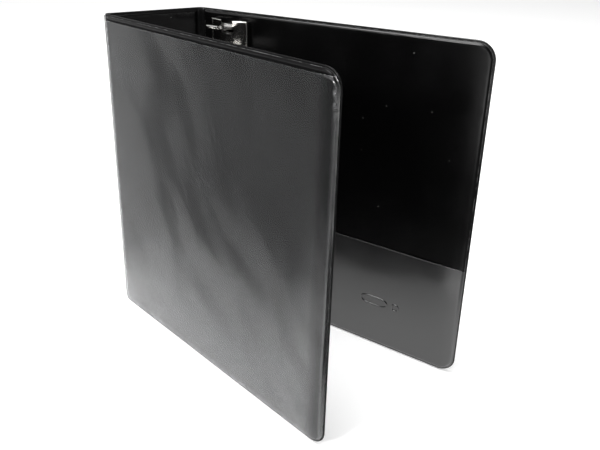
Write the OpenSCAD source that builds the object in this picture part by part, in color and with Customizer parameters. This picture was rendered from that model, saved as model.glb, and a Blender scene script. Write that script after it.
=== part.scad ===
// Three-ring view binder standing on its lower edges, half open.
// Three chipboard panels in vinyl skins, with clear overlay pockets outside, sheet pockets
// inside and a lever-operated D-ring mechanism riveted to the back cover.
// Origin: middle of the spine's foot. +Z up, the covers reach towards -Y,
// the front cover hinges at -X and the back cover at +X.

/* [Covers] */
// Height of the binder, foot to head
cover_h = 298; // [240:1:360]
// Width of a cover, hinge line to fore-edge
cover_w = 286; // [235:1:345]
// Width of the spine between its two hinge lines
spine_w = 95; // [80:1:115]
// Radius of the covers' fore-edge corners
corner_r = 15; // [4:1:30]
// Thickness of the chipboard in each panel
board_t = 2.4; // [1.8:0.1:3]
// Thickness of each vinyl skin
skin_t = 0.4; // [0.2:0.1:0.6]
// Width of the welded vinyl border around each board
border_w = 3.5; // [1:0.5:5]

/* [Opening] */
// Inside angle between the spine and the front cover as it stands
front_interior = 76; // [76:1:180]
// Inside angle between the spine and the back cover as it stands
back_interior = 116; // [90:1:180]

/* [Vinyl hinges] */
// Radius of the round bead on each hinge line
bead_r = 0.9; // [0.7:0.05:1]
// Radial play of the bead in its socket
bead_play = 0.05; // [0.02:0.01:0.1]
// Thickness of the web between the spine and the bead
web_t = 0.8; // [0.4:0.1:1]
// Gap between a hinge line and the panels on both sides of it
panel_gap = 3; // [2.5:0.5:5]

/* [Pockets] */
// Thickness of the clear overlay film
film_t = 0.25; // [0.15:0.05:0.4]
// Room under the overlay film for a printed sheet
film_room = 0.3; // [0.2:0.1:1]
// Width of the overlay film's welded edge
film_weld_w = 2; // [1:0.5:4]
// Distance of the film from the panel's side edges
film_inset = 2; // [1:0.5:6]
// Distance of the film's open mouth from the head of the panel
film_drop = 5.5; // [2:0.5:15]
// Height of the inside sheet pockets' mouths
pocket_h = 105; // [60:1:200]
// Thickness of a sheet pocket's vinyl
pocket_t = 0.4; // [0.2:0.1:0.6]
// Room inside a sheet pocket
pocket_room = 0.5; // [0.3:0.1:2]
// Distance of a sheet pocket from the cover's edges
pocket_inset = 1; // [1:0.5:8]

/* [Ring housing] */
// Width of the housing
housing_w = 41; // [36:1:49]
// Height of the housing's side walls
housing_side_h = 4.5; // [4.5:0.5:7]
// Rise of the housing's arched top above its side walls
housing_rise = 4; // [3:0.5:6]
// Thickness of the housing's sheet steel
housing_t = 1; // [0.8:0.1:1.2]
// Distance of the housing's ends from the head and the foot of the cover
housing_end = 8; // [4:1:20]
// Distance of the housing's near edge from the hinge line
housing_start = 18.5; // [14:0.5:30]

/* [Blades] */
// Thickness of the two spring-steel blades
blade_t = 1.2; // [0.9:0.1:1.4]
// Radius of the rolled edge on which a blade turns
blade_edge_r = 0.8; // [0.7:0.05:1]
// Radial play of the rolled edge in the housing's groove
blade_play = 0.05; // [0.02:0.01:0.1]
// Height of the blades' turning axes above the cover
blade_h = 2.8; // [2.4:0.1:3.2]
// Downward slope of the shut blades towards each other
blade_slope = 4; // [2:0.5:5]
// Gap between the two blades' inner edges
blade_gap = 0.5; // [0.3:0.1:1]

/* [Rings] */
// Number of rings
ring_count = 3; // [2:1:4]
// Distance between neighbouring rings
ring_pitch = 108; // [80:1:115]
// Radius of the ring wire
wire_r = 2; // [1.5:0.1:2.2]
// Distance of the ring stems from the housing's centre line
stem_off = 11; // [10:0.5:12]
// Height of the rings' centre line above the cover
ring_h = 69; // [50:1:72]
// Reach of the rings' round side from the housing's centre line
ring_reach = 25; // [20:1:28]
// Radius of the rings' round side
ring_arc_r = 28; // [24:1:30]
// Bend radius at the top of the straight side
post_bend_r = 6; // [4:0.5:7]
// Height of the rings' low side above the cover
ring_base_h = 13; // [12.5:0.5:18]
// Bend radius between a stem and the low side
foot_bend_r = 4; // [2.5:0.5:4]
// Gap between the two halves of a shut ring
ring_gap = 0.3; // [0.2:0.1:0.6]

/* [Levers] */
// Width of a lever
lever_w = 12.4; // [8:0.2:12.8]
// Thickness of a lever's arm
lever_t = 1.6; // [1.2:0.1:2.2]
// Height of a lever's straight arm above its pin
lever_arm_h = 18; // [10:1:22]
// Radius of the outward curl at a lever's tip
lever_curl_r = 9; // [6:1:12]
// Radius of the lever pins
pin_r = 1.25; // [1:0.05:1.4]
// Radial play of a lever on its pin
pin_play = 0.05; // [0.02:0.01:0.1]
// Height of the lever pins above the cover
pin_h = 3.6; // [3.4:0.1:3.8]

/* [Rivets] */
// Radius of the rivets that hold the housing
rivet_r = 2; // [1.5:0.1:2.5]
// Radius of the rivets' heads
rivet_head_r = 4; // [3.2:0.1:5]
// Distance of the rivets from the housing's ends
rivet_in = 27; // [20:1:34]

/* [Hidden] */
$fn = 64;

// A cut runs past the faces it goes through by this much.
past = 1;

// Panels: mid-plane on the hinge lines, outer side towards +Y in their own frames.
panel_t = board_t + 2 * skin_t;
face = panel_t / 2;
inner_board_y = skin_t - face;
spine_half = spine_w / 2 - panel_gap;

// Hinge sockets: as thick as a panel, open over the web's whole swing.
socket_r = bead_r + bead_play;
socket_outer_r = face;
band_t = 2 * web_t;
mouth_from = 40;
mouth_to = 212;

// Housing: its own frame has +X towards the spine, +Y off the cover and +Z up.
housing_centre = housing_start + housing_w / 2;
housing_half = housing_w / 2;
crown_h = housing_side_h + housing_rise;
arch_r = (housing_half * housing_half + housing_rise * housing_rise) / (2 * housing_rise);
arch_centre = crown_h - arch_r;
housing_len = cover_h - 2 * housing_end;

// Blades turn in grooves of ribs along the side walls.
rib_w = 1.6;
rib_from = housing_half - housing_t - rib_w;
blade_axis = rib_from + 0.3;
groove_r = blade_edge_r + blade_play;
rib_h = blade_h + groove_r + 0.9;

// Lever pins sit between the housing's ends and the blades.
pin_in = 6;
hub_r = pin_r + pin_play + 1.5;
tail_len = 5;
blade_end = pin_in + tail_len + 1;
lever_slot_w = lever_w + 0.8;
ear_gap = 0.2;
ear_t = 1.2;
ear_half_len = 3.4;
ear_foot = 0.6;
pin_len = lever_slot_w + 2 * (ear_gap + ear_t) + 1.2;

// Rings: shut ends meet just beside the post's bend.
post_bend_x = post_bend_r - stem_off;
split_x = post_bend_x + 1;
arc_x = ring_reach - ring_arc_r;
arc_h = ring_h - ring_arc_r;
foot_bend_x = stem_off + foot_bend_r;
low_bend_r = ring_reach - foot_bend_x;
stem_foot = 1.2;
stem_play = 0.6;
stem_swing = 1.4;

// Rivets: a domed head over the housing, a flat head let into the board.
dome_h = 1.4;
dome_r = (rivet_head_r * rivet_head_r + dome_h * dome_h) / (2 * dome_h);
let_in = 0.6;
let_in_r = rivet_head_r + 1;
rivet_room = 1;

function ring_z(i) = cover_h / 2 + (i - (ring_count - 1) / 2) * ring_pitch;
function rivet_z(side) = cover_h / 2 + side * (housing_len / 2 - rivet_in);
function pin_z(side) = cover_h / 2 + side * (housing_len / 2 - pin_in);

// ---- Places ----

module on_front() {
    translate([-spine_w / 2, 0, 0]) rotate([0, 0, -front_interior]) mirror([0, 1, 0]) children();
}

module on_back() {
    translate([spine_w / 2, 0, 0]) rotate([0, 0, back_interior - 180]) children();
}

module on_housing() {
    on_back() translate([housing_centre, -face, 0]) rotate([0, 0, 180]) children();
}

// Draws an upright outline from y to y + t.
module upright(y, t) {
    translate([0, y + t, 0]) rotate([90, 0, 0]) linear_extrude(t) children();
}

// ---- Panels ----

// Outline from x0 to x1 with the two far corners rounded.
module rounded_outline(x0, x1, z0, z1, r) {
    translate([x0, z0]) square([x1 - r - x0, z1 - z0]);
    translate([x0, z0 + r]) square([x1 - x0, z1 - z0 - 2 * r]);
    for (z = [z0 + r, z1 - r]) translate([x1 - r, z]) circle(r);
}

module cover_outline(inset) {
    x0 = inset > 0 ? panel_gap + inset : panel_gap;
    rounded_outline(x0, cover_w - inset, inset, cover_h - inset, corner_r - inset);
}

module spine_outline(inset) {
    translate([-spine_half + inset, inset])
        square([2 * (spine_half - inset), cover_h - 2 * inset]);
}

// Outer skin with its border turned in around the board.
module cover_outer_skin() {
    difference() {
        upright(inner_board_y, board_t + skin_t) cover_outline(0);
        upright(inner_board_y - past, board_t + past) cover_outline(border_w);
    }
}

module cover_inner_skin() {
    upright(-face, skin_t) cover_outline(0);
}

module cover_board() {
    upright(inner_board_y, board_t) cover_outline(border_w);
}

// Clear film welded along the foot and both sides, open at the head.
module cover_film() {
    r = corner_r - film_inset;
    x0 = panel_gap + film_inset;
    x1 = cover_w - film_inset;
    z1 = cover_h - film_drop;
    module film_outline() {
        intersection() {
            rounded_outline(x0, x1, film_inset, cover_h - film_inset, r);
            translate([x0, 0]) square([cover_w, z1]);
        }
    }
    difference() {
        upright(face, film_room + film_t) film_outline();
        upright(face - past, film_room + past)
            rounded_outline(x0 + film_weld_w, x1 - film_weld_w, film_inset + film_weld_w,
                cover_h + corner_r, r - film_weld_w);
    }
}

// Inside pocket sheet welded along the foot and both sides, open at the top.
module sheet_pocket(x0) {
    r = corner_r - pocket_inset;
    x1 = cover_w - pocket_inset;
    module pocket_outline(edge) {
        intersection() {
            rounded_outline(x0 + edge, x1 - edge, pocket_inset + edge, cover_h, r - edge);
            translate([x0, 0]) square([cover_w, pocket_h + edge]);
        }
    }
    difference() {
        upright(-face - pocket_room - pocket_t, pocket_room + pocket_t) pocket_outline(0);
        upright(-face - pocket_room, pocket_room + past) pocket_outline(film_weld_w);
    }
}

// Bead and web on the spine's side of a hinge, the spine towards -X.
module hinge_seam() {
    cylinder(h = cover_h, r = bead_r);
    translate([-panel_gap, -web_t / 2, 0]) cube([panel_gap, web_t, cover_h]);
}

// Socket on the cover's side of a hinge, the cover towards +X.
module hinge_band() {
    reach = 2 * panel_gap;
    mouth = [for (a = [0 : 4]) -mouth_from - a * (mouth_to - mouth_from) / 4];
    linear_extrude(cover_h) difference() {
        union() {
            circle(socket_outer_r);
            translate([0, -band_t / 2]) square([panel_gap, band_t]);
        }
        circle(socket_r);
        polygon([[0, 0], for (a = mouth) reach * [cos(a), sin(a)]]);
    }
}

// ---- Ring mechanism, in the housing's frame ----

module housing_section() {
    module arch(r, half, foot) {
        intersection() {
            translate([0, arch_centre]) circle(r, $fn = 128);
            translate([-half, foot]) square([2 * half, crown_h - foot]);
        }
    }
    difference() {
        arch(arch_r, housing_half, 0);
        arch(arch_r - housing_t, housing_half - housing_t, -past);
    }
    for (side = [-1, 1]) difference() {
        intersection() {
            translate([side * (rib_from + rib_w / 2) - rib_w / 2, 0]) square([rib_w, rib_h]);
            translate([0, arch_centre]) circle(arch_r - housing_t / 2, $fn = 128);
        }
        translate([side * blade_axis, blade_h]) circle(groove_r);
    }
}

// Keeps a pin's two ears under the arched top.
module pin_ears() {
    for (side = [-1, 1]) {
        x = side * (lever_slot_w / 2 + ear_gap + ear_t / 2);
        intersection() {
            translate([x - ear_t / 2, ear_foot, -ear_half_len])
                cube([ear_t, crown_h, 2 * ear_half_len]);
            translate([0, arch_centre, -ear_half_len])
                cylinder(h = 2 * ear_half_len, r = arch_r - housing_t / 2, $fn = 128);
        }
    }
}

module ring_housing() {
    slot_from = stem_off - wire_r - stem_play;
    slot_to = stem_off + wire_r + stem_swing;
    difference() {
        union() {
            translate([0, 0, housing_end]) linear_extrude(housing_len) housing_section();
            for (end = [-1, 1]) translate([0, 0, pin_z(end)]) pin_ears();
        }
        for (i = [0 : ring_count - 1], side = [-1, 1])
            translate([side * (slot_from + slot_to) / 2, crown_h, ring_z(i)])
                cube([slot_to - slot_from, crown_h, 2 * (wire_r + stem_play)], center = true);
        for (end = [-1, 1]) {
            slot_len = pin_in + tail_len + 1;
            translate([0, crown_h, cover_h / 2 + end * (housing_len - slot_len + past) / 2])
                cube([lever_slot_w, crown_h, slot_len + past], center = true);
            translate([0, pin_h, pin_z(end)]) rotate([0, 90, 0])
                cylinder(h = housing_w - 4 * housing_t, r = pin_r, center = true);
            translate([0, 0, rivet_z(end)]) rotate([-90, 0, 0])
                cylinder(h = 2 * crown_h, r = rivet_r);
        }
    }
}

// Blade that turns about +X * blade_axis, with the stems of its ring halves through it.
module blade() {
    difference() {
        translate([blade_axis, blade_h, 0]) rotate([0, 0, blade_slope]) {
            translate([0, 0, housing_end + blade_end])
                cylinder(h = housing_len - 2 * blade_end, r = blade_edge_r);
            translate([blade_gap / 2 - blade_axis, -blade_t / 2, housing_end + blade_end])
                cube([blade_axis - blade_gap / 2, blade_t, housing_len - 2 * blade_end]);
        }
        for (i = [0 : ring_count - 1]) stem(i, crown_h);
        for (end = [-1, 1]) translate([0, 0, rivet_z(end)]) rotate([-90, 0, 0])
            cylinder(h = crown_h, r = rivet_r + rivet_room);
    }
}

module stem(i, top) {
    translate([stem_off, stem_foot, ring_z(i)]) rotate([-90, 0, 0])
        cylinder(h = top - stem_foot, r = wire_r);
}

// Quarter turn of wire in the plane of the ring, starting at the given angle.
module quarter_bend(r, from) {
    rotate([0, 0, from]) rotate_extrude(angle = 90) translate([r, 0]) circle(wire_r);
}

// Straight wire along X at the top of a ring.
module wire_top(x0, x1, i) {
    translate([x0, ring_h, ring_z(i)]) rotate([0, 90, 0]) cylinder(h = x1 - x0, r = wire_r);
}

module ring_arc(i) {
    stem(i, ring_base_h - foot_bend_r);
    translate([foot_bend_x, ring_base_h - foot_bend_r, ring_z(i)]) quarter_bend(foot_bend_r, 90);
    translate([foot_bend_x, ring_base_h + low_bend_r, ring_z(i)]) quarter_bend(low_bend_r, -90);
    translate([ring_reach, ring_base_h + low_bend_r, ring_z(i)]) rotate([-90, 0, 0])
        cylinder(h = arc_h - ring_base_h - low_bend_r, r = wire_r);
    translate([arc_x, arc_h, ring_z(i)]) quarter_bend(ring_arc_r, 0);
    wire_top(split_x + ring_gap / 2, arc_x, i);
}

module ring_post(i) {
    mirror([1, 0, 0]) stem(i, ring_h - post_bend_r);
    translate([post_bend_x, ring_h - post_bend_r, ring_z(i)]) quarter_bend(post_bend_r, 90);
    wire_top(post_bend_x, split_x - ring_gap / 2, i);
}

// Opening lever at one end: hub, short tail, upright arm and a tip curled outward.
module lever(end) {
    curl_turn = 50;
    mid_r = lever_curl_r + lever_t / 2;
    curl_x = lever_curl_r + lever_t / 2;
    far = 3 * lever_curl_r;
    translate([0, pin_h, pin_z(end)]) mirror([0, 0, end > 0 ? 0 : 1]) rotate([0, -90, 0])
        linear_extrude(lever_w, center = true) difference() {
            union() {
                circle(hub_r);
                translate([-lever_t / 2, 0]) square([lever_t, lever_arm_h]);
                translate([-tail_len, -lever_t / 2]) square([tail_len, lever_t]);
                translate([curl_x, lever_arm_h]) intersection() {
                    difference() {
                        circle(lever_curl_r + lever_t);
                        circle(lever_curl_r);
                    }
                    polygon([[0, 0], [-far, 0], far * [-cos(curl_turn), sin(curl_turn)]]);
                }
                translate([curl_x - mid_r * cos(curl_turn), lever_arm_h + mid_r * sin(curl_turn)])
                    circle(lever_t / 2);
            }
            circle(pin_r + pin_play);
        }
}

module lever_pin(end) {
    translate([0, pin_h, pin_z(end)]) rotate([0, 90, 0])
        cylinder(h = pin_len, r = pin_r, center = true);
}

module rivet(end) {
    foot = -(skin_t + board_t);
    translate([0, 0, rivet_z(end)]) rotate([-90, 0, 0]) {
        translate([0, 0, foot]) cylinder(h = crown_h - foot, r = rivet_r);
        translate([0, 0, foot]) cylinder(h = let_in, r = let_in_r);
        translate([0, 0, crown_h]) intersection() {
            translate([0, 0, dome_h - dome_r]) sphere(dome_r);
            cylinder(h = dome_h, r = rivet_head_r);
        }
    }
}

// Bores for the rivets in the back cover's board and inner skin.
module rivet_bores() {
    for (end = [-1, 1]) translate([housing_centre, 0, rivet_z(end)]) rotate([-90, 0, 0]) {
        translate([0, 0, -panel_t]) cylinder(h = 2 * panel_t, r = rivet_r);
        translate([0, 0, face - skin_t - let_in]) cylinder(h = let_in + past, r = let_in_r);
    }
}

// ---- Sub-parts ----

module spine_board() {
    color("tan") upright(inner_board_y, board_t) spine_outline(border_w);
}

module spine_outer_skin() {
    color("black") difference() {
        upright(inner_board_y, board_t + skin_t) spine_outline(0);
        upright(inner_board_y - past, board_t + past) spine_outline(border_w);
    }
}

module spine_inner_skin() {
    color("black") upright(-face, skin_t) spine_outline(0);
}

module spine_overlay() {
    half = spine_half - film_inset;
    color("lightgray", 0.4) difference() {
        upright(face, film_room + film_t)
            translate([-half, film_inset]) square([2 * half, cover_h - film_drop - film_inset]);
        upright(face - past, film_room + past)
            translate([film_weld_w - half, film_inset + film_weld_w])
                square([2 * (half - film_weld_w), cover_h]);
    }
}

module front_hinge_seam() {
    color("black") translate([-spine_w / 2, 0, 0]) mirror([1, 0, 0]) hinge_seam();
}

module back_hinge_seam() {
    color("black") translate([spine_w / 2, 0, 0]) hinge_seam();
}

module front_board() {
    color("tan") on_front() cover_board();
}

module front_outer_skin() {
    color("black") on_front() cover_outer_skin();
}

module front_inner_skin() {
    color("black") on_front() cover_inner_skin();
}

module front_overlay() {
    color("lightgray", 0.4) on_front() cover_film();
}

module front_pocket() {
    color("dimgray") on_front() sheet_pocket(panel_gap + pocket_inset);
}

module front_hinge_band() {
    color("black") on_front() hinge_band();
}

module back_board() {
    color("tan") on_back() difference() {
        cover_board();
        rivet_bores();
    }
}

module back_outer_skin() {
    color("black") on_back() cover_outer_skin();
}

module back_inner_skin() {
    color("black") on_back() difference() {
        cover_inner_skin();
        rivet_bores();
    }
}

module back_overlay() {
    color("lightgray", 0.4) on_back() cover_film();
}

module back_pocket() {
    color("dimgray") on_back() sheet_pocket(housing_start + housing_w + pocket_inset);
}

module back_hinge_band() {
    color("black") on_back() hinge_band();
}

module housing() {
    color("silver") on_housing() ring_housing();
}

module arc_blade() {
    color("gainsboro") on_housing() blade();
}

module post_blade() {
    color("gainsboro") on_housing() mirror([1, 0, 0]) blade();
}

spine_board();
spine_outer_skin();
spine_inner_skin();
spine_overlay();
front_hinge_seam();
back_hinge_seam();
front_board();
front_outer_skin();
front_inner_skin();
front_overlay();
front_pocket();
front_hinge_band();
back_board();
back_outer_skin();
back_inner_skin();
back_overlay();
back_pocket();
back_hinge_band();
housing();
color("silver") on_housing() rivet(1);  // top_rivet
color("silver") on_housing() rivet(-1);  // bottom_rivet
color("silver") on_housing() lever_pin(1);  // top_lever_pin
color("silver") on_housing() lever_pin(-1);  // bottom_lever_pin
arc_blade();
color("silver") on_housing() ring_arc(0);  // bottom_ring_arc
color("silver") on_housing() ring_arc(1);  // middle_ring_arc
color("silver") on_housing() ring_arc(2);  // top_ring_arc
post_blade();
color("silver") on_housing() ring_post(0);  // bottom_ring_post
color("silver") on_housing() ring_post(1);  // middle_ring_post
color("silver") on_housing() ring_post(2);  // top_ring_post
color("silver") on_housing() lever(1);  // top_lever
color("silver") on_housing() lever(-1);  // bottom_lever
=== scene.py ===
import math

import bmesh
import bpy
import numpy as np
from mathutils import Matrix, Vector, noise


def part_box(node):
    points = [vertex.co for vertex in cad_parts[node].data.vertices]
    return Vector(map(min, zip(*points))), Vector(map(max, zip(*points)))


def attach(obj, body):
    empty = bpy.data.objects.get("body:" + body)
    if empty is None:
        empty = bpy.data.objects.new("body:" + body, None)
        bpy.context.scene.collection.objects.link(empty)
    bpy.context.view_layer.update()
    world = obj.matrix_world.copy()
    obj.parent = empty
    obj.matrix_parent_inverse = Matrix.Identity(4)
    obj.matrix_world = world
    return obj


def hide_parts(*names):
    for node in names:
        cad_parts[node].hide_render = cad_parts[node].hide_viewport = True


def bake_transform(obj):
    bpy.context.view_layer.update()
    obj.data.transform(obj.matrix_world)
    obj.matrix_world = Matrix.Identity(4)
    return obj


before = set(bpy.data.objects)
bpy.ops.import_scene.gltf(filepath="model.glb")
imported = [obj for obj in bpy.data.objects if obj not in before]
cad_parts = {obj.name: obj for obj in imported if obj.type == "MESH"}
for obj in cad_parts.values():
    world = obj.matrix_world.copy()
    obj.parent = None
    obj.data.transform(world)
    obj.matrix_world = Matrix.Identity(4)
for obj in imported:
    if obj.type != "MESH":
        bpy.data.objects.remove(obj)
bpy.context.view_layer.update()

# ---- Camera ----
# It stands in front of the fore-edges, to the left, and looks a little down into the binder.
eye = (-0.2093, -0.6030, 0.3907)
heading = math.radians(28.56)
look_down = math.radians(21.85)
tilt = math.radians(0.5)


def new_object(name, data):
    """An object for a camera, a lamp or a mesh, linked to the scene."""
    thing = bpy.data.objects.new(name, data)
    bpy.context.scene.collection.objects.link(thing)
    return thing


camera = new_object("camera", bpy.data.cameras.new("camera"))
camera.data.sensor_width = 36
camera.data.lens = 39.84
camera.data.shift_x = 0.0583
camera.data.shift_y = -0.0917
camera.matrix_world = (
    Matrix.Translation(eye)
    @ Matrix.Rotation(-heading, 4, "Z")
    @ Matrix.Rotation(math.pi / 2 - look_down, 4, "X")
    @ Matrix.Rotation(tilt, 4, "Z")
)
bpy.context.scene.camera = camera

# ---- Floor and studio light ----
# A wide white table top that glows a little, a large soft lamp overhead and a smaller one low
# on the left. The surround is white to look at, but the binder sees it dim in front and above.
floor_half = 9.0


def new_material(name):
    """A material, its node tree and its Principled shader."""
    material = bpy.data.materials.new(name)
    material.use_nodes = True
    return material, material.node_tree, material.node_tree.nodes["Principled BSDF"]


def add(tree, kind, links=(), **settings):
    """A node with its properties or input values set, and its inputs linked."""
    node = tree.nodes.new(kind)
    for key, value in settings.items():
        if key in node.bl_rna.properties:
            setattr(node, key, value)
        else:
            node.inputs[key.replace("_", " ")].default_value = value
    for socket, source in dict(links).items():
        tree.links.new(source, node.inputs[socket])
    return node


floor_mesh = bpy.data.meshes.new("floor")
floor_mesh.from_pydata(
    [(-floor_half, -floor_half, 0), (floor_half, -floor_half, 0),
     (floor_half, floor_half, 0), (-floor_half, floor_half, 0)],
    [], [(0, 1, 2, 3)],
)
new_object("floor", floor_mesh)

floor_paint, _, floor_shader = new_material("white_table")
floor_shader.inputs["Base Color"].default_value = (0.93, 0.93, 0.93, 1)
floor_shader.inputs["Roughness"].default_value = 0.9
floor_shader.inputs["Specular IOR Level"].default_value = 0.1
floor_shader.inputs["Emission Color"].default_value = (1, 1, 1, 1)
floor_shader.inputs["Emission Strength"].default_value = 0.3
floor_mesh.materials.append(floor_paint)

surround = bpy.data.worlds.new("surround")
surround.use_nodes = True
surround_tree = surround.node_tree
surround_shader = surround_tree.nodes["Background"]
surround_shader.inputs["Color"].default_value = (1, 1, 1, 1)
surround_way = add(surround_tree, "ShaderNodeTexCoord")
surround_split = add(
    surround_tree, "ShaderNodeSeparateXYZ", {0: surround_way.outputs["Generated"]})
surround_front = add(
    surround_tree, "ShaderNodeMapRange", {"Value": surround_split.outputs["Y"]},
    From_Min=-0.35, From_Max=0.25, To_Min=0.3, To_Max=1.9)
surround_top = add(
    surround_tree, "ShaderNodeMapRange", {"Value": surround_split.outputs["Z"]},
    From_Min=0.2, From_Max=0.6, To_Min=1.0, To_Max=0.25)
surround_both = add(surround_tree, "ShaderNodeMath", {
    0: surround_front.outputs["Result"], 1: surround_top.outputs["Result"]},
    operation="MULTIPLY")
surround_path = add(surround_tree, "ShaderNodeLightPath")
surround_seen = add(surround_tree, "ShaderNodeMath", {
    0: surround_both.outputs[0], 1: surround_path.outputs["Is Camera Ray"]},
    operation="MAXIMUM")
surround_tree.links.new(surround_seen.outputs[0], surround_shader.inputs["Strength"])
bpy.context.scene.world = surround
bpy.context.scene.view_settings.view_transform = "Standard"


def soft_light(name, place, aim, size, power):
    """A square area light at place, facing aim."""
    lamp = bpy.data.lights.new(name, "AREA")
    lamp.size = size
    lamp.energy = power
    holder = new_object(name, lamp)
    holder.location = place
    holder.rotation_euler = (Vector(aim) - Vector(place)).to_track_quat("-Z", "Y").to_euler()


soft_light("overhead", place=(-0.35, 0.1, 2.2), aim=(0.0, -0.1, 0.1), size=1.5, power=60)
soft_light("low_left", place=(-1.7, -0.5, 0.95), aim=(0.0, -0.1, 0.2), size=0.35, power=22)

# A black card with soft edges lies on the table all round. It shows only in reflections, where
# it shades the glossy covers, and it fades out towards the binder, so they pale to the foot.
card_mesh = bpy.data.meshes.new("black_card")
card_mesh.from_pydata(
    [(-5.0, -6.0, 0.002), (5.0, -6.0, 0.002), (5.0, 5.0, 0.002), (-5.0, 5.0, 0.002)],
    [], [(0, 1, 2, 3)],
)
card = new_object("black_card", card_mesh)
card.visible_camera = False
card.visible_diffuse = False
card.visible_shadow = False

card_paint, card_tree, card_shader = new_material("black_card")
card_shader.inputs["Base Color"].default_value = (0.01, 0.01, 0.01, 1)
card_shader.inputs["Roughness"].default_value = 1.0
card_shader.inputs["Specular IOR Level"].default_value = 0.0
card_place = add(card_tree, "ShaderNodeTexCoord").outputs["Object"]


def card_fade(way, start, stop, most, least=0.0):
    """How much the card covers, from least to most between start and stop metres along way."""
    away = add(card_tree, "ShaderNodeVectorMath", {0: card_place}, operation="DOT_PRODUCT")
    away.inputs[1].default_value = way
    fade = add(card_tree, "ShaderNodeMapRange", {"Value": away.outputs["Value"]},
               interpolation_type="SMOOTHSTEP", From_Min=start, From_Max=stop,
               To_Min=least, To_Max=most)
    return fade.outputs["Result"]


def card_join(kind, *covers):
    """Covers of the card multiplied together, or the largest of them."""
    joined = covers[0]
    for cover in covers[1:]:
        joined = add(card_tree, "ShaderNodeMath", {0: joined, 1: cover}, operation=kind)
        joined = joined.outputs[0]
    return joined


# Its parts lie beside the front cover, beyond that cover's hinge, in front of the binder, in a
# strip off the front cover's foot, beside the back cover and behind the spine.
from_front_cover = (-0.97, -0.242, 0.0)
from_back_cover = (0.899, 0.438, 0.0)
card_parts = [
    card_join("MULTIPLY", card_fade(from_front_cover, 0.01, 0.25, 0.88),
              card_fade((0, 1, 0), -0.26, -0.12, 1.0),
              card_fade((0.93, 1, 0), -0.17, -0.02, 0.74, 1.0)),
    card_join("MULTIPLY", card_fade(from_front_cover, 0.03, 0.09, 0.60),
              card_fade((0, 1, 0), -0.03, 0.10, 1.0)),
    card_join("MULTIPLY", card_fade((0, -1, 0), 0.27, 0.48, 0.88),
              card_fade((1, 0, 0), -0.50, -0.30, 1.0),
              card_fade((1, 0, 0), 0.65, 0.95, 0.0, 1.0)),
    card_join("MULTIPLY", card_fade(from_front_cover, 0.05, 0.13, 0.90),
              card_fade((0, -1, 0), 0.225, 0.275, 1.0),
              card_fade(from_front_cover, 0.42, 0.60, 0.0, 1.0)),
    card_join("MULTIPLY", card_fade(from_back_cover, 0.08, 0.32, 0.85),
              card_fade((1, 0.3, 0), 0.10, 0.20, 1.0)),
    card_join("MULTIPLY", card_fade((0, 1, 0), 0.04, 0.28, 0.80),
              card_fade((1, 0, 0), -0.10, 0.10, 1.0)),
]
card_tree.links.new(card_join("MAXIMUM", *card_parts), card_shader.inputs["Alpha"])
card_mesh.materials.append(card_paint)

# ---- Black vinyl ----
# The outer and inner skins are soft sheet, calendered with a fine even grain. It is almost
# black, picks up a little dust, and its sheen wanders where the sheet isn't quite flat.


def new_group(name, outputs, **inputs):
    """An empty shader group with number inputs and outputs given as (name, kind)."""
    group = bpy.data.node_groups.new(name, "ShaderNodeTree")
    group.interface.new_socket("Vector", in_out="INPUT", socket_type="NodeSocketVector")
    for label, value in inputs.items():
        socket = group.interface.new_socket(label, in_out="INPUT", socket_type="NodeSocketFloat")
        socket.default_value = value
    for label, kind in outputs:
        group.interface.new_socket(label, in_out="OUTPUT", socket_type=kind)
    return group, group.nodes.new("NodeGroupInput"), group.nodes.new("NodeGroupOutput")


# Fine grain: closely packed bumps a few tenths of a millimetre across, under a softer roll.
fine_grain, grain_in, grain_out = new_group(
    "fine_grain", [("Height", "NodeSocketFloat")], Pitch=0.5, Roll=0.35)
grain_scale = add(fine_grain, "ShaderNodeMath", {1: grain_in.outputs["Pitch"]},
                  operation="DIVIDE")
grain_scale.inputs[0].default_value = 1000.0
grain_cells = add(fine_grain, "ShaderNodeTexVoronoi", {
    "Vector": grain_in.outputs["Vector"], "Scale": grain_scale.outputs[0]}, feature="SMOOTH_F1")
grain_roll = add(fine_grain, "ShaderNodeTexNoise", {"Vector": grain_in.outputs["Vector"]},
                 Scale=160.0, Detail=3.0)
grain_mix = add(fine_grain, "ShaderNodeMix", {
    "Factor": grain_in.outputs["Roll"], "A": grain_cells.outputs["Distance"],
    "B": grain_roll.outputs["Fac"]})
fine_grain.links.new(grain_mix.outputs["Result"], grain_out.inputs["Height"])

# Soft waves: the slow roll of a sheet that isn't quite flat, longer one way than the other.
soft_waves, waves_in, waves_out = new_group(
    "soft_waves", [("Height", "NodeSocketFloat")], Scale=9.0)
waves_place = add(soft_waves, "ShaderNodeMapping", {"Vector": waves_in.outputs["Vector"]},
                  vector_type="TEXTURE")
waves_place.inputs["Rotation"].default_value = (-0.55, 0.45, 0.0)
waves_place.inputs["Scale"].default_value = (1.0, 1.0, 2.6)
waves_noise = add(soft_waves, "ShaderNodeTexNoise", {
    "Vector": waves_place.outputs["Vector"], "Scale": waves_in.outputs["Scale"]},
    Detail=1.5, Roughness=0.4)
soft_waves.links.new(waves_noise.outputs["Fac"], waves_out.inputs["Height"])

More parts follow.
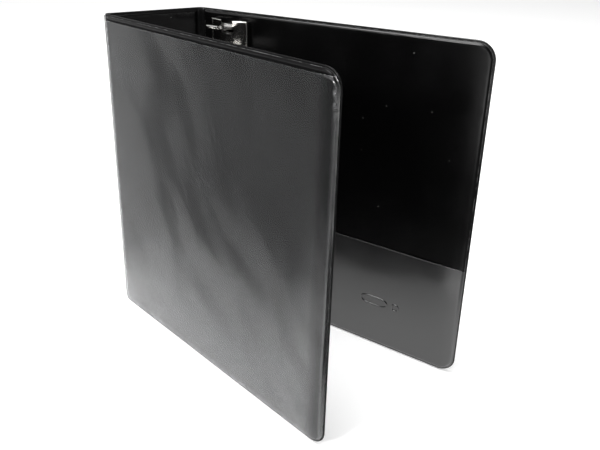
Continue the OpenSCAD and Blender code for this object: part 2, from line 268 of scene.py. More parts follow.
# Dust: a few pale specks, sparse and of mixed size.
dust_specks, dust_in, dust_out = new_group(
    "dust_specks", [("Mask", "NodeSocketFloat")], Spacing=9.0, Reach=0.045)
dust_scale = add(dust_specks, "ShaderNodeMath", {1: dust_in.outputs["Spacing"]},
                 operation="DIVIDE")
dust_scale.inputs[0].default_value = 1000.0
dust_cells = add(dust_specks, "ShaderNodeTexVoronoi", {
    "Vector": dust_in.outputs["Vector"], "Scale": dust_scale.outputs[0]})
dust_size = add(dust_specks, "ShaderNodeSeparateColor", {"Color": dust_cells.outputs["Color"]})
dust_reach = add(dust_specks, "ShaderNodeMath", {
    0: dust_size.outputs["Red"], 1: dust_in.outputs["Reach"]}, operation="MULTIPLY")
dust_near = add(dust_specks, "ShaderNodeMath", {
    0: dust_cells.outputs["Distance"], 1: dust_reach.outputs[0]}, operation="LESS_THAN")
dust_few = add(dust_specks, "ShaderNodeMath", {0: dust_size.outputs["Green"]},
               operation="GREATER_THAN")
dust_few.inputs[1].default_value = 0.6
dust_mask = add(dust_specks, "ShaderNodeMath", {
    0: dust_near.outputs[0], 1: dust_few.outputs[0]}, operation="MULTIPLY")
dust_specks.links.new(dust_mask.outputs[0], dust_out.inputs["Mask"])


def vinyl(name, shade, roughness, grain_height, wave_height, wave_scale=9.0):
    """Black sheet vinyl with grain, slow waves, dust and a slightly uneven sheen."""
    material, tree, shader = new_material(name)
    place = add(tree, "ShaderNodeTexCoord").outputs["Object"]
    grain = add(tree, "ShaderNodeGroup", node_tree=fine_grain)
    waves = add(tree, "ShaderNodeGroup", node_tree=soft_waves)
    dust = add(tree, "ShaderNodeGroup", node_tree=dust_specks)
    for group in (grain, waves, dust):
        tree.links.new(place, group.inputs["Vector"])
    waves.inputs["Scale"].default_value = wave_scale
    tint = add(tree, "ShaderNodeMix", {"Factor": dust.outputs["Mask"]}, data_type="RGBA")
    tint.inputs["A"].default_value = (shade, shade, shade * 1.04, 1)
    tint.inputs["B"].default_value = (0.22, 0.22, 0.21, 1)
    tree.links.new(tint.outputs["Result"], shader.inputs["Base Color"])
    smears = add(tree, "ShaderNodeTexNoise", {"Vector": place}, Scale=26.0, Detail=3.0)
    sheen = add(tree, "ShaderNodeMapRange", {"Value": smears.outputs["Fac"]},
                From_Min=0.3, From_Max=0.7, To_Min=roughness - 0.04, To_Max=roughness + 0.05)
    tree.links.new(sheen.outputs["Result"], shader.inputs["Roughness"])
    wave_bump = add(tree, "ShaderNodeBump", {"Height": waves.outputs["Height"]},
                    Distance=wave_height)
    grain_bump = add(tree, "ShaderNodeBump", {
        "Height": grain.outputs["Height"], "Normal": wave_bump.outputs["Normal"]},
        Distance=grain_height)
    tree.links.new(grain_bump.outputs["Normal"], shader.inputs["Normal"])
    return material, shader


outer_vinyl, outer_shader = vinyl(
    "outer_vinyl", shade=0.003, roughness=0.21, grain_height=0.000001, wave_height=0.0008)
outer_shader.inputs["Specular IOR Level"].default_value = 0.12
inner_vinyl, inner_shader = vinyl(
    "inner_vinyl", shade=0.0015, roughness=0.20, grain_height=0.000005, wave_height=0.0006)
inner_shader.inputs["Specular IOR Level"].default_value = 0.32

# ---- Vinyl skins ----
# Each panel is a board between two vinyl sheets. The sheets are welded together all round,
# 3.5 mm outside the board, and rise over its edge, where the vinyl puckers a little.
spine_w = 0.095
cover_w = 0.286
cover_h = 0.298
corner_r = 0.015
panel_gap = 0.003
front_open = math.radians(76)
back_open = math.radians(116)

front_hinge = Vector((-spine_w / 2, 0, 0))
back_hinge = Vector((spine_w / 2, 0, 0))
# Each place is a panel's origin, the way along it and the way out of it.
places = {
    "spine": (Vector((0, 0, 0)), Vector((1, 0, 0)), Vector((0, 1, 0))),
    "front": (front_hinge, Vector((math.cos(front_open), -math.sin(front_open), 0)),
              Vector((-math.sin(front_open), -math.cos(front_open), 0))),
    "back": (back_hinge, Vector((-math.cos(back_open), -math.sin(back_open), 0)),
             Vector((math.sin(back_open), -math.cos(back_open), 0))),
}
# Left edge, right edge and corner radius of each panel's outline.
half_spine = spine_w / 2 - panel_gap
outlines = {
    "spine": (-half_spine, half_spine, 0.0006),
    "front": (panel_gap, cover_w, corner_r),
    "back": (panel_gap, cover_w, corner_r),
}
bodies = {"spine": "spine", "front": "front_cover", "back": "back_cover"}


def outline_ring(left, right, foot, head, radius, inset, count):
    """A panel's outline pulled in by inset, as (x, z) points. The far corners are round."""
    left, right, foot, head = left + inset, right - inset, foot + inset, head - inset
    bend = max(radius - inset, 0.0005)
    run = np.linspace(0, 1, count, endpoint=False)
    turn = np.linspace(0, math.pi / 2, 15, endpoint=False)
    sides = [
        [(left + t * (right - bend - left), foot) for t in run],
        [(right - bend + bend * math.sin(a), foot + bend - bend * math.cos(a)) for a in turn],
        [(right, foot + bend + t * (head - foot - 2 * bend)) for t in run],
        [(right - bend + bend * math.cos(a), head - bend + bend * math.sin(a)) for a in turn],
        [(right - bend - t * (right - bend - left), head) for t in run],
        [(left, head - t * (head - foot)) for t in run],
    ]
    return np.array([p for side in sides for p in side])


def clean_mesh(mesh):
    """Merges a mesh's doubles, turns its faces outward and shades it smooth."""
    work = bmesh.new()
    work.from_mesh(mesh)
    bmesh.ops.remove_doubles(work, verts=work.verts, dist=1e-7)
    bmesh.ops.recalc_face_normals(work, faces=work.faces)
    work.to_mesh(mesh)
    work.free()
    mesh.polygons.foreach_set("use_smooth", [True] * len(mesh.polygons))


def finish_mesh(name, points, faces, material):
    """A closed, cleaned mesh object with one material."""
    mesh = bpy.data.meshes.new(name)
    mesh.from_pydata([tuple(p) for p in points], [], faces)
    clean_mesh(mesh)
    mesh.materials.append(material)
    return new_object(name, mesh)


def put(panel, x, y, z):
    """A point of a panel, x along it, y out of it and z up, in the binder's frame."""
    origin, along, outward = places[panel]
    return origin + along * x + outward * y + Vector((0, 0, z))


# From the outline inwards a skin is a rounded lip, the flat weld, the rise over the board and
# the board's flat.
skin_insets = np.array([0, 0.06, 0.16, 0.35, 0.7, 1.2, 1.7, 2.0, 2.25, 2.5, 2.8, 3.1, 3.4,
                        3.7, 4.1, 4.7, 5.6, 7.0, 10, 16, 26]) / 1000
skin_rise_at = np.array([0, 0.06, 0.16, 0.35, 0.7, 1.7, 2.0, 2.25, 2.6, 3.1, 3.5, 4.2, 5.0, 7.0,
                         30]) / 1000
skin_rise_to = np.array([0.02, 0.2, 0.33, 0.42, 0.46, 0.45, 0.40, 0.46, 0.85, 1.36, 1.55, 1.61,
                         1.63, 1.62, 1.60]) / 1000


def skin_height(inset):
    """How far a skin's outer face stands off the panel's mid-plane."""
    return np.interp(inset, skin_rise_at, skin_rise_to)


def bump_at(value, centre, reach):
    """A smooth bump, 1 at centre and fading over reach."""
    return math.exp(-(((value - centre) / reach) ** 2))


def pucker(x, z, inset, seed):
    """Small ripples where the sheet is drawn over the board's edge."""
    board_edge, reach, height, per_metre = 0.0032, 0.0013, 0.00012, 260
    ripple = noise.noise(Vector((x * per_metre, seed, z * per_metre)))
    return height * bump_at(inset, board_edge, reach) * ripple


def skin(panel, side, material, seed):
    """One vinyl sheet of a panel, on its outer side (1) or its inner side (-1)."""
    left, right, radius = outlines[panel]
    thick, least_y = 0.00036, 0.00001
    top, under = [], []
    for inset in skin_insets:
        ring = outline_ring(left, right, 0, cover_h, radius, inset, count=110)
        for x, z in ring:
            y = skin_height(inset) + pucker(x, z, inset, seed)
            top.append(put(panel, x, side * y, z))
            under.append(put(panel, x, side * max(y - thick, least_y), z))
    around = len(ring)
    last = len(top) - around
    faces = []
    for level in range(len(skin_insets) - 1):
        for i in range(around):
            a, b = level * around + i, level * around + (i + 1) % around
            faces.append((a, b, b + around, a + around))
            a, b = a + len(top), b + len(top)
            faces.append((b, a, a + around, b + around))
    faces.append(tuple(range(last, last + around)))
    faces.append(tuple(reversed(range(last + len(top), last + len(top) + around))))
    for i in range(around):
        j = (i + 1) % around
        faces.append((j, i, i + len(top), j + len(top)))
    label = "outer_skin" if side > 0 else "inner_skin"
    piece = finish_mesh(f"{panel}_{label}_vinyl", top + under, faces, material)
    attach(piece, bodies[panel])
    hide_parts(f"{panel}_{label}")


for seed, panel in enumerate(("spine", "front", "back")):
    skin(panel, 1, outer_vinyl, seed * 7.3)
    skin(panel, -1, inner_vinyl, seed * 7.3 + 3.1)

# ---- Clear overlays ----
# A soft clear film lies over the outside of each panel as a pocket for a printed sheet.
# It is welded into the border along the foot and both sides and stays open at the head,
# where its free edge stands off a little. It bellies slightly and clings in places.
film_from_edge = 0.0012
film_drop = 0.0055
film_thick = 0.00022
sheet_gap = 0.00002


def clear_film(name, roughness, haze):
    """Soft clear vinyl film with slow waves, cloudy patches and a band of painted shade."""
    material, tree, shader = new_material(name)
    # This attribute darkens the film's colour in a band beside the fore-edge: painted shade for a
    # dark reflection.
    painted_shade_band = add(tree, "ShaderNodeAttribute", attribute_name="painted_shade_band")
    tint = add(tree, "ShaderNodeMix", {"Factor": painted_shade_band.outputs["Fac"]}, data_type="RGBA")
    tint.inputs["A"].default_value = (0.93, 0.94, 0.95, 1)
    tint.inputs["B"].default_value = (0.25, 0.25, 0.26, 1)
    tree.links.new(tint.outputs["Result"], shader.inputs["Base Color"])
    shader.inputs["Transmission Weight"].default_value = 1.0
    shader.inputs["IOR"].default_value = 1.53
    place = add(tree, "ShaderNodeTexCoord").outputs["Object"]
    waves = add(tree, "ShaderNodeGroup", {"Vector": place}, node_tree=soft_waves)
    waves.inputs["Scale"].default_value = 13.0
    drape = add(tree, "ShaderNodeMapping", {"Vector": place}, vector_type="TEXTURE")
    drape.inputs["Rotation"].default_value = (-0.6, 0.4, 0.0)
    drape.inputs["Scale"].default_value = (1.0, 1.0, 2.8)
    cling = add(tree, "ShaderNodeTexNoise", {"Vector": drape.outputs["Vector"]},
                Scale=11.0, Detail=2.0, Roughness=0.45)
    cloudy = add(tree, "ShaderNodeMapRange", {"Value": cling.outputs["Fac"]},
                 From_Min=0.35, From_Max=0.65, To_Min=roughness, To_Max=roughness + haze)
    tree.links.new(cloudy.outputs["Result"], shader.inputs["Roughness"])
    scratches = add(tree, "ShaderNodeTexNoise", {"Vector": place}, Scale=900.0, Detail=2.0)
    wave_bump = add(tree, "ShaderNodeBump", {"Height": waves.outputs["Height"]}, Distance=0.0095)
    fine_bump = add(tree, "ShaderNodeBump", {
        "Height": scratches.outputs["Fac"], "Normal": wave_bump.outputs["Normal"]},
        Distance=0.0000005)
    tree.links.new(fine_bump.outputs["Normal"], shader.inputs["Normal"])
    return material


film = clear_film("clear_film", roughness=0.16, haze=0.08)


def edge_steps(fine, span, coarse):
    """Distances across a sheet: fine steps at both edges, coarse ones between."""
    low = [step / 1000 for step in fine]
    middle = np.linspace(low[-1], span - low[-1], coarse + 2)[1:-1]
    return low + list(middle) + [span - step for step in reversed(low)]


def border_distance(panel, x, z):
    """Distance of a point inwards from a panel's outline."""
    left, right, radius = outlines[panel]
    near = min(x - left, right - x, z, cover_h - z)
    over_x = x - (right - radius)
    over_z = max(radius - z, z - (cover_h - radius))
    if over_x > 0 and over_z > 0:
        near = min(near, radius - math.hypot(over_x, over_z))
    return near


def right_limit(panel, z, inset):
    """Where a sheet that keeps inset from the outline ends at height z."""
    right, radius = outlines[panel][1:]
    over_z = max(radius - z, z - (cover_h - radius), 0)
    bend = radius - inset
    if over_z > bend:
        return right - radius
    if over_z <= 0:
        return right - inset
    return right - radius + math.sqrt(bend * bend - over_z * over_z)


def welded_sheet(name, panel, side, x_from, z_from, z_to, inset, lift, thick, material):
    """A sheet over a panel, following it at the welds; lift gives its height between them."""
    fine = (0, 0.5, 1.0, 1.4, 1.8, 2.2, 2.6, 3.0, 3.5, 4.2, 5.2, 6.6, 8.5, 12, 18, 26)
    coarse_x, coarse_z = 26, 34
    mouth_step, mouth_reach = 0.0009, 0.045
    upward = edge_steps(fine, z_to - z_from, coarse_z)
    upward += [z_to - z_from - step for step in np.arange(mouth_step, mouth_reach, mouth_step)]
    front_points, back_points = [], []
    for up in sorted(upward):
        z = z_from + up
        for step in edge_steps(fine, right_limit(panel, z, inset) - x_from, coarse_x):
            x = x_from + step
            y = lift(x, z)
            front_points.append(put(panel, x, side * y, z))
            back_points.append(put(panel, x, side * (y - thick), z))
    tall, total = len(upward), len(front_points)
    wide = total // tall
    faces = []
    for j in range(tall - 1):
        for i in range(wide - 1):
            a = j * wide + i
            faces.append((a, a + 1, a + 1 + wide, a + wide))
            faces.append((a + total + wide, a + total + wide + 1, a + total + 1, a + total))
    rim = list(range(wide))
    rim += [j * wide + wide - 1 for j in range(1, tall)]
    rim += [(tall - 1) * wide + i for i in range(wide - 2, -1, -1)]
    rim += [j * wide for j in range(tall - 2, 0, -1)]
    for a, b in zip(rim, rim[1:] + rim[:1]):
        faces.append((b, a, a + total, b + total))
    return finish_mesh(name, front_points + back_points, faces, material)


def film_lift(panel):
    """Height of a panel's overlay film, from the welded border to its slack middle."""
    right = outlines[panel][1]
    mouth = cover_h - film_drop

    def lift(x, z):
        # Only the head's corner counts as border up there, because the head is open.
        inset = min(border_distance(panel, x, min(z, cover_h / 2)),
                    border_distance(panel, x, z) if right - x < corner_r else 1.0)
        follow = skin_height(inset + 0.0002) + film_thick
        # The film leaves the skin beyond its welds, and later beside the fore-edge.
        gap = np.interp(inset, (0.0012, 0.0024, 0.0060, 0.0085, 0.024, 0.045),
                        (0.0, 0.00004, 0.00030, 0.00036, 0.00075, 0.00085))
        if panel != "spine":
            gap = min(gap, np.interp(right - x, (0.0024, 0.0055, 0.0070, 0.0160, 0.030),
                                     (0.00004, 0.00010, 0.00014, 0.00072, 0.00085)))
        # Its mouth gapes, its middle rolls, and small tucks gather beside the weld at the head.
        free = min((inset - film_from_edge) / 0.02, 1.0)
        gape = 0.00045 * math.exp(-(mouth - z) / 0.010) * free
        roll = 0.00016 * noise.noise(Vector((x * 20, 4.0, z * 9))) * free
        near_head = bump_at(z, mouth - 0.014, 0.016)
        seam = bump_at(inset, 0.0042, 0.0016)
        tuck = 0.00045 * seam * near_head * (1 + math.sin(z * 805 + 6 * x))
        return follow + sheet_gap + gap + gape + roll + tuck

    return lift


# Beside the fore-edge weld a band of the film is painted darker: painted shade for the dark
# reflection there.
painted_shade_at, painted_shade_to = (0.0045, 0.0065, 0.011, 0.020), (0.0, 1.0, 0.9, 0.0)
for panel in ("spine", "front", "back"):
    cover_film = welded_sheet(
        f"{panel}_clear_film", panel, 1, outlines[panel][0] + film_from_edge, film_from_edge,
        cover_h - film_drop, film_from_edge, film_lift(panel), film_thick, film)
    origin, along = places[panel][:2]
    ahead = np.array([(v.co - origin).dot(along) for v in cover_film.data.vertices])
    painted_shade_band = np.interp(outlines[panel][1] - ahead, painted_shade_at, painted_shade_to)
    marks = cover_film.data.attributes.new("painted_shade_band", "FLOAT", "POINT")
    marks.data.foreach_set("value", painted_shade_band.astype(np.float32))
    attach(cover_film, bodies[panel])
    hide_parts(f"{panel}_overlay")

# ---- Inside pockets ----
# A low pocket of heavier, smoother vinyl crosses the inside of each cover for loose sheets.
# It is welded in along the foot and both sides, and its mouth stands slightly open.
pocket_h = 0.105
pocket_thick = 0.0004
pocket_weld = 0.001
pocket_vinyl, pocket_shader = vinyl("pocket_vinyl", shade=0.006, roughness=0.21,
                                    grain_height=0.000004, wave_height=0.0008, wave_scale=12.0)
pocket_shader.inputs["IOR"].default_value = 1.6
pocket_shader.inputs["Coat Weight"].default_value = 1.0
pocket_shader.inputs["Coat Roughness"].default_value = 0.16


def pocket_lift(panel, x_from):
    """Height of a pocket's sheet above its panel's mid-plane."""
    def lift(x, z):
        inset = border_distance(panel, x, z)
        follow = skin_height(inset + 0.0002) + pocket_thick
        # Its middle bellies away from the cover, and its mouth gapes.
        slack = min(max(min(inset - 0.0012, x - x_from, z) / 0.03, 0.0), 1.0)
        gape = 0.0009 * slack * math.exp(-(pocket_h - z) / 0.035)
        belly = 0.0004 * slack + 0.00012 * slack * noise.noise(Vector((x * 30, 9.0, z * 40)))
        return follow + sheet_gap + belly + gape

    return lift


# The back cover's pocket starts beyond the ring housing.
pocket_starts = {"front": panel_gap + pocket_weld, "back": 0.0605}
for panel, x_from in pocket_starts.items():
    pocket = welded_sheet(
        f"{panel}_sheet_pocket", panel, -1, x_from, pocket_weld, pocket_h, pocket_weld,
        pocket_lift(panel, x_from), pocket_thick, pocket_vinyl)
    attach(pocket, bodies[panel])
    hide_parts(f"{panel}_pocket")

# ---- Vinyl hinges ----
# Between the spine and each cover the two sheets are welded to one another and nothing else,
# so the binder folds there. The weld is a smooth flat band with rounded lips.
hinge_vinyl, _ = vinyl("hinge_vinyl", shade=0.004, roughness=0.21, grain_height=0.000004,
                       wave_height=0.0004, wave_scale=40.0)


def hinge_band(cover, towards_spine):
    """The welded band from the spine's border to a cover's, curved round the fold."""
    fold, along = places[cover][:2]
    reach = panel_gap + 0.0013
    start = fold + towards_spine * reach
    end = fold + along * reach
    # The middle of the band is a curve drawn towards the fold.
    steps, to_fold = 28, 0.65
    near_start, near_end = start.lerp(fold, to_fold), end.lerp(fold, to_fold)
    path = []
    for i in range(steps + 1):
        t = i / steps
        path.append(start * (1 - t) ** 3 + 3 * near_start * t * (1 - t) ** 2
                    + 3 * near_end * t * t * (1 - t) + end * t ** 3)
    # Its lips are rounded, and a shallow groove runs beside each.
    section = []
    for i, point in enumerate(path):
        ahead = path[min(i + 1, steps)] - path[max(i - 1, 0)]
        across = Vector((-ahead.y, ahead.x, 0)).normalized()
        lip = min(i, steps - i) / steps
        half = 0.00051 * math.sqrt(min(lip / 0.06, 1.0)) + 0.00004
        groove = 0.00010 * bump_at(lip, 0.2, 0.035)
        section.append((point, across, half - groove))
    end_round = 0.0006
    heights = [0.0, 0.0002, end_round] + list(np.linspace(0.004, cover_h - 0.004, 76))
    heights += [cover_h - end_round, cover_h - 0.0002, cover_h]
    points = []
    for z in heights:
        ends = min(z, cover_h - z)
        round_off = 0.35 + 0.65 * math.sqrt(min(ends / end_round, 1.0))
        for point, across, half in section:
            wrinkle = 0.00005 * noise.noise(Vector((z * 120, point.x * 300, 2.0)))
            points.append(point + across * (half * round_off + wrinkle) + Vector((0, 0, z)))
        for point, across, half in reversed(section):
            points.append(point - across * half * round_off + Vector((0, 0, z)))
    around = 2 * len(section)
    faces = []
    for level in range(len(heights) - 1):
        for i in range(around):
            a, b = level * around + i, level * around + (i + 1) % around
            faces.append((a, b, b + around, a + around))
    faces.append(tuple(reversed(range(around))))
    faces.append(tuple(range((len(heights) - 1) * around, len(heights) * around)))
    band = finish_mesh(f"{cover}_hinge_vinyl", points, faces, hinge_vinyl)
    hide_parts(f"{cover}_hinge_seam", f"{cover}_hinge_band")
    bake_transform(band)


hinge_band("front", Vector((1, 0, 0)))
hinge_band("back", Vector((-1, 0, 0)))

# ---- Boards ----
# A die-cut sheet of grey chipboard stiffens each panel. It lies between the two vinyl sheets,
# and their weld round its edge holds it in.
chipboard, board_tree, board_shader = new_material("chipboard")
board_shader.inputs["Roughness"].default_value = 0.95
board_place = add(board_tree, "ShaderNodeTexCoord").outputs["Object"]
fibres = add(board_tree, "ShaderNodeTexNoise", {"Vector": board_place},
             Scale=420.0, Detail=5.0, Roughness=0.7)
board_tone = add(board_tree, "ShaderNodeMix", {"Factor": fibres.outputs["Fac"]}, data_type="RGBA")
board_tone.inputs["A"].default_value = (0.20, 0.18, 0.15, 1)
board_tone.inputs["B"].default_value = (0.38, 0.35, 0.30, 1)
board_tree.links.new(board_tone.outputs["Result"], board_shader.inputs["Base Color"])
board_bump = add(board_tree, "ShaderNodeBump", {"Height": fibres.outputs["Fac"]}, Distance=0.0001)
board_tree.links.new(board_bump.outputs["Normal"], board_shader.inputs["Normal"])


def refinish(material, *names):
    """Gives CAD nodes a material in place of their own."""
    for label in names:
        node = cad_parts[label]
        node.data.materials.clear()
        node.data.materials.append(material)


refinish(chipboard, "spine_board", "front_board", "back_board")

# ---- Ring mechanism ----
# The housing is pressed spring steel, nickel plated and riveted to the back board. It snaps
# two steel blades that carry the ring halves, and a bent lever at each end works them.
plate_wear, wear_in, wear_out = new_group(
    "plate_wear", [("Roughness", "NodeSocketFloat"), ("Height", "NodeSocketFloat"),
                   ("Dullness", "NodeSocketFloat")],
    Shine=0.12, Smear=0.10)
smear_noise = add(plate_wear, "ShaderNodeTexNoise", {"Vector": wear_in.outputs["Vector"]},
                  Scale=70.0, Detail=4.0, Roughness=0.6)
smear_gain = add(plate_wear, "ShaderNodeMath", {
    0: smear_noise.outputs["Fac"], 1: wear_in.outputs["Smear"]}, operation="MULTIPLY")
smear_sum = add(plate_wear, "ShaderNodeMath", {
    0: smear_gain.outputs[0], 1: wear_in.outputs["Shine"]}, operation="ADD")
plate_wear.links.new(smear_sum.outputs[0], wear_out.inputs["Roughness"])
draw_lines = add(plate_wear, "ShaderNodeMapping", {"Vector": wear_in.outputs["Vector"]})
draw_lines.inputs["Scale"].default_value = (1.0, 1.0, 0.03)
scratch_noise = add(plate_wear, "ShaderNodeTexNoise", {"Vector": draw_lines.outputs["Vector"]},
                    Scale=2600.0, Detail=2.0)
plate_wear.links.new(scratch_noise.outputs["Fac"], wear_out.inputs["Height"])
dull_spots = add(plate_wear, "ShaderNodeTexNoise", {"Vector": wear_in.outputs["Vector"]},
                 Scale=240.0, Detail=3.0)
plate_wear.links.new(dull_spots.outputs["Fac"], wear_out.inputs["Dullness"])


def plated(name, bright, dull, shine, smear, scratch):
    """Plated steel with smears, faint drawing lines and slight tarnish."""
    material, tree, shader = new_material(name)
    shader.inputs["Metallic"].default_value = 1.0
    place = add(tree, "ShaderNodeTexCoord").outputs["Object"]
    wear = add(tree, "ShaderNodeGroup", node_tree=plate_wear)
    tree.links.new(place, wear.inputs["Vector"])
    wear.inputs["Shine"].default_value = shine
    wear.inputs["Smear"].default_value = smear
    tone = add(tree, "ShaderNodeMix", {"Factor": wear.outputs["Dullness"]}, data_type="RGBA")
    tone.inputs["A"].default_value = (*bright, 1)
    tone.inputs["B"].default_value = (*dull, 1)
    tree.links.new(tone.outputs["Result"], shader.inputs["Base Color"])
    tree.links.new(wear.outputs["Roughness"], shader.inputs["Roughness"])
    bump = add(tree, "ShaderNodeBump", {"Height": wear.outputs["Height"]}, Distance=scratch)
    tree.links.new(bump.outputs["Normal"], shader.inputs["Normal"])
    return material


nickel = plated("housing_nickel", (0.70, 0.69, 0.67), (0.60, 0.59, 0.57),
                shine=0.10, smear=0.12, scratch=0.000002)
ring_nickel = plated("ring_nickel", (0.74, 0.73, 0.71), (0.66, 0.65, 0.63),
                     shine=0.08, smear=0.08, scratch=0.000001)
lever_nickel = plated("lever_nickel", (0.75, 0.74, 0.73), (0.68, 0.67, 0.65),
                      shine=0.07, smear=0.10, scratch=0.000001)
rivet_nickel = plated("rivet_nickel", (0.66, 0.65, 0.62), (0.52, 0.50, 0.47),
                      shine=0.16, smear=0.14, scratch=0.000002)
blade_steel = plated("blade_steel", (0.46, 0.45, 0.44), (0.34, 0.33, 0.32),
                     shine=0.28, smear=0.16, scratch=0.000004)
refinish(nickel, "housing")
refinish(rivet_nickel, "top_rivet", "bottom_rivet")
refinish(blade_steel, "arc_blade", "post_blade", "top_lever_pin", "bottom_lever_pin")
refinish(ring_nickel, *[f"{spot}_ring_{half}" for spot in ("bottom", "middle", "top")
                        for half in ("arc", "post")])
refinish(lever_nickel, "top_lever", "bottom_lever")

# ---- Pressed lines ----
# Forming and welding leave raised lines: the housing's rolled lips, the crease along each
# hinge, the weld line round each cover, and a plain oval and ring on the back pocket.


def new_tree(name, output, **inputs):
    """An empty Geometry Nodes tree from a Path and a Finish to output, with number inputs."""
    tree = bpy.data.node_groups.new(name, "GeometryNodeTree")
    tree.interface.new_socket("Path", in_out="INPUT", socket_type="NodeSocketGeometry")
    for label, value in inputs.items():
        socket = tree.interface.new_socket(label, in_out="INPUT", socket_type="NodeSocketFloat")
        socket.default_value = value
    tree.interface.new_socket("Finish", in_out="INPUT", socket_type="NodeSocketMaterial")
    tree.interface.new_socket(output, in_out="OUTPUT", socket_type="NodeSocketGeometry")
    return tree, tree.nodes.new("NodeGroupInput"), tree.nodes.new("NodeGroupOutput")


line_tree, line_in, line_out = new_tree("pressed_line", "Line",
                                        Step=0.0008, Radius=0.0004, Waver=0.0)
line_curve = add(line_tree, "GeometryNodeMeshToCurve", {"Mesh": line_in.outputs["Path"]})
line_even = add(line_tree, "GeometryNodeResampleCurve", {
    "Curve": line_curve.outputs["Curve"], "Length": line_in.outputs["Step"]}, mode="LENGTH")
line_place = add(line_tree, "GeometryNodeInputPosition")
line_noise = add(line_tree, "ShaderNodeTexNoise", {"Vector": line_place.outputs["Position"]},
                 Scale=90.0, Detail=2.0)
line_centred = add(line_tree, "ShaderNodeVectorMath", {0: line_noise.outputs["Color"]},
                   operation="SUBTRACT")
line_centred.inputs[1].default_value = (0.5, 0.5, 0.5)
line_shift = add(line_tree, "ShaderNodeVectorMath", {
    0: line_centred.outputs["Vector"], "Scale": line_in.outputs["Waver"]}, operation="SCALE")
line_moved = add(line_tree, "GeometryNodeSetPosition", {
    "Geometry": line_even.outputs["Curve"], "Offset": line_shift.outputs["Vector"]})
line_round = add(line_tree, "GeometryNodeCurvePrimitiveCircle", {
    "Radius": line_in.outputs["Radius"]}, Resolution=10)
line_skin = add(line_tree, "GeometryNodeCurveToMesh", {
    "Curve": line_moved.outputs["Geometry"], "Profile Curve": line_round.outputs["Curve"]})
line_skin.inputs["Fill Caps"].default_value = True
line_solid = add(line_tree, "GeometryNodeRealizeInstances", {
    "Geometry": line_skin.outputs["Mesh"]})
line_done = add(line_tree, "GeometryNodeSetMaterial", {
    "Geometry": line_solid.outputs["Geometry"], "Material": line_in.outputs["Finish"]})
line_tree.links.new(line_done.outputs["Geometry"], line_out.inputs["Line"])


def run_tree(name, tree, points, closed, finish, **sizes):
    """Runs a Geometry Nodes tree on a path of points and keeps the result as a plain mesh."""
    edges = [(i, i + 1) for i in range(len(points) - 1)]
    if closed:
        edges.append((len(points) - 1, 0))
    path = bpy.data.meshes.new(name)
    path.from_pydata([tuple(p) for p in points], edges, [])
    holder = new_object(f"{name}_path", path)
    modifier = holder.modifiers.new("tree", "NODES")
    modifier.node_group = tree
    for item in tree.interface.items_tree:
        if item.in_out == "INPUT" and item.name in sizes:
            modifier[item.identifier] = sizes[item.name]
        if item.in_out == "INPUT" and item.socket_type == "NodeSocketMaterial":
            modifier[item.identifier] = finish
    graph = bpy.context.evaluated_depsgraph_get()
    mesh = bpy.data.meshes.new_from_object(holder.evaluated_get(graph))
    bpy.data.objects.remove(holder)
    clean_mesh(mesh)
    mesh.name = name
    return new_object(name, mesh)


def pressed_line(name, points, radius, finish, body, closed=False, waver=0.0):
    """A raised line along a path, riding on a body."""
    line = run_tree(name, line_tree, points, closed, finish, Radius=radius, Waver=waver)
    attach(line, body)


housing_low, housing_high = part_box("housing")
housing_start, housing_w, housing_side_h = 0.0185, 0.041, 0.0045
housing_foot, housing_rise, slot_half = 0.0016, 0.0040, 0.0066
lip_in, lip_short, end_lip_in = 0.0004, 0.0006, 0.0003
for label, x in (("spine_side", housing_start + lip_in),
                 ("fore_side", housing_start + housing_w - lip_in)):
    run = [put("back", x, -(housing_foot + housing_side_h), z)
           for z in np.linspace(housing_low.z + lip_short, housing_high.z - lip_short, 40)]
    pressed_line(f"housing_lip_{label}", run, 0.0007, nickel, "back_cover")

# The end lips follow the housing's arch and stop at the lever's slot.
for end, z in (("top", housing_high.z - end_lip_in), ("bottom", housing_low.z + end_lip_in)):
    for label, near, far in (("spine_side", -housing_w / 2 + lip_in, -slot_half),
                             ("fore_side", slot_half, housing_w / 2 - lip_in)):
        run = []
        for off in np.linspace(near, far, 16):
            arch = housing_side_h + housing_rise * (1 - (2 * off / housing_w) ** 2)
            run.append(put("back", housing_start + housing_w / 2 + off,
                           -(housing_foot + arch), z))
        pressed_line(f"housing_{end}_lip_{label}", run, 0.0006, nickel, "back_cover")

# The crease and weld lines are painted pale in broken streaks: painted highlight along them.
painted_highlight_vinyl, painted_highlight_shader = vinyl("painted_highlight_vinyl", shade=0.006, roughness=0.21,
                                    grain_height=0.000004, wave_height=0.0004, wave_scale=40.0)
painted_highlight_tree = painted_highlight_vinyl.node_tree
painted_highlight_place = add(painted_highlight_tree, "ShaderNodeTexCoord").outputs["Object"]
painted_highlight_noise = add(painted_highlight_tree, "ShaderNodeTexNoise", {"Vector": painted_highlight_place},
                  Scale=170.0, Detail=4.0, Roughness=0.65)
painted_highlight_mask = add(painted_highlight_tree, "ShaderNodeMapRange", {"Value": painted_highlight_noise.outputs["Fac"]},
                 From_Min=0.44, From_Max=0.66)
painted_highlight_tone = add(painted_highlight_tree, "ShaderNodeMix", {"Factor": painted_highlight_mask.outputs["Result"]},
                 data_type="RGBA")
painted_highlight_tone.inputs["A"].default_value = (0.006, 0.006, 0.006, 1)
painted_highlight_tone.inputs["B"].default_value = (0.17, 0.17, 0.17, 1)
painted_highlight_tree.links.new(painted_highlight_tone.outputs["Result"], painted_highlight_shader.inputs["Base Color"])

# The crease runs down the inside of each fold, a little towards the spine; its pale streaks are
# painted highlight.
crease_and_weld_waver = 0.0003
crease_r, crease_short, crease_x, crease_y = 0.00034, 0.0015, 0.0002, -0.00055
for cover, towards in (("front", 1), ("back", -1)):
    crease = [places[cover][0] + Vector((towards * crease_x, crease_y, z))
              for z in np.linspace(crease_short, cover_h - crease_short, 120)]
    pressed_line(f"{cover}_hinge_crease", crease, crease_r, painted_highlight_vinyl, "spine",
                 waver=crease_and_weld_waver)
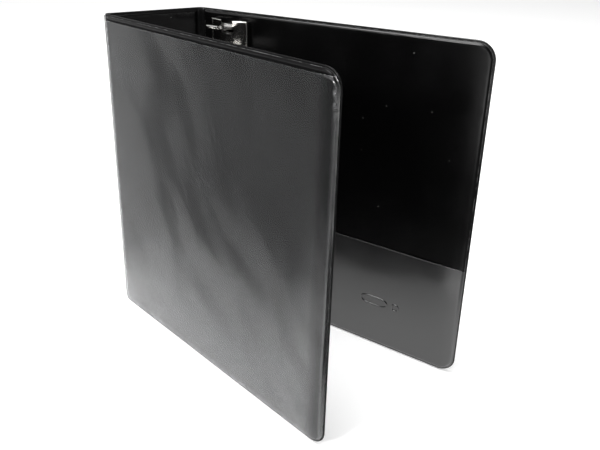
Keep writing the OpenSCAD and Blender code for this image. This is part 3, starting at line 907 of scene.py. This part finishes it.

# The weld line round each cover carries the same pale streaks of painted highlight.
weld_line_r, weld_line_inset, weld_line_y = 0.00016, 0.0017, 0.00040
for panel in ("front", "back"):
    left, right, radius = outlines[panel]
    ring = outline_ring(left, right, 0, cover_h, radius, weld_line_inset, count=90)
    for label, side in (("outer", 1), ("inner", -1)):
        run = [put(panel, x, side * weld_line_y, z) for x, z in ring]
        pressed_line(f"{panel}_{label}_weld_line", run, weld_line_r, painted_highlight_vinyl,
                     bodies[panel], closed=True, waver=crease_and_weld_waver)


def pressed_oval(name, x, z, half_wide, half_tall, radius):
    """A raised oval outline on the back pocket, a little squarer than an ellipse."""
    height = pocket_lift("back", pocket_starts["back"])
    square_x, square_z = 0.6, 0.8
    points = []
    for turn in np.linspace(0, 2 * math.pi, 48, endpoint=False):
        wide = math.copysign(abs(math.cos(turn)) ** square_x, math.cos(turn))
        tall = math.copysign(abs(math.sin(turn)) ** square_z, math.sin(turn))
        px, pz = x + half_wide * wide, z + half_tall * tall
        points.append(put("back", px, -height(px, pz), pz))
    pressed_line(name, points, radius, pocket_vinyl, "back_cover", closed=True)


pressed_oval("pocket_oval", x=0.205, z=0.047, half_wide=0.013, half_tall=0.0042, radius=0.00075)
pressed_oval("pocket_ring", x=0.2265, z=0.047, half_wide=0.0030, half_tall=0.0030,
             radius=0.00075)

# ---- Weld beads ----
# The welding die is knurled, so it leaves a row of fine beads round the border of each panel,
# on both its sides and outside the overlay's edge.
bead_tree, bead_in, bead_out = new_tree("weld_beads", "Beads",
                                        Pitch=0.0016, Bead=0.00022, Scatter=0.25)
bead_curve = add(bead_tree, "GeometryNodeMeshToCurve", {"Mesh": bead_in.outputs["Path"]})
bead_even = add(bead_tree, "GeometryNodeResampleCurve", {
    "Curve": bead_curve.outputs["Curve"], "Length": bead_in.outputs["Pitch"]}, mode="LENGTH")
bead_shape = add(bead_tree, "GeometryNodeMeshIcoSphere", {"Radius": bead_in.outputs["Bead"]},
                 Subdivisions=2)
bead_low = add(bead_tree, "ShaderNodeMath", {1: bead_in.outputs["Scatter"]},
               operation="SUBTRACT")
bead_low.inputs[0].default_value = 1.0
bead_high = add(bead_tree, "ShaderNodeMath", {1: bead_in.outputs["Scatter"]},
                operation="ADD")
bead_high.inputs[0].default_value = 1.0
bead_size = add(bead_tree, "FunctionNodeRandomValue", {
    2: bead_low.outputs[0], 3: bead_high.outputs[0]}, data_type="FLOAT", Seed=7)
bead_put = add(bead_tree, "GeometryNodeInstanceOnPoints", {
    "Points": bead_even.outputs["Curve"], "Instance": bead_shape.outputs["Mesh"],
    "Scale": bead_size.outputs[1]})
bead_solid = add(bead_tree, "GeometryNodeRealizeInstances", {
    "Geometry": bead_put.outputs["Instances"]})
bead_done = add(bead_tree, "GeometryNodeSetMaterial", {
    "Geometry": bead_solid.outputs["Geometry"], "Material": bead_in.outputs["Finish"]})
bead_tree.links.new(bead_done.outputs["Geometry"], bead_out.inputs["Beads"])

bead_inset, bead_y = 0.0006, 0.00036
for panel in ("front", "back", "spine"):
    left, right, radius = outlines[panel]
    ring = outline_ring(left, right, 0, cover_h, radius, bead_inset, count=60)
    for label, side, finish in (("outer", 1, outer_vinyl), ("inner", -1, inner_vinyl)):
        points = [put(panel, x, side * bead_y, z) for x, z in ring]
        beads = run_tree(f"{panel}_{label}_weld_beads", bead_tree, points, True, finish)
        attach(beads, bodies[panel])
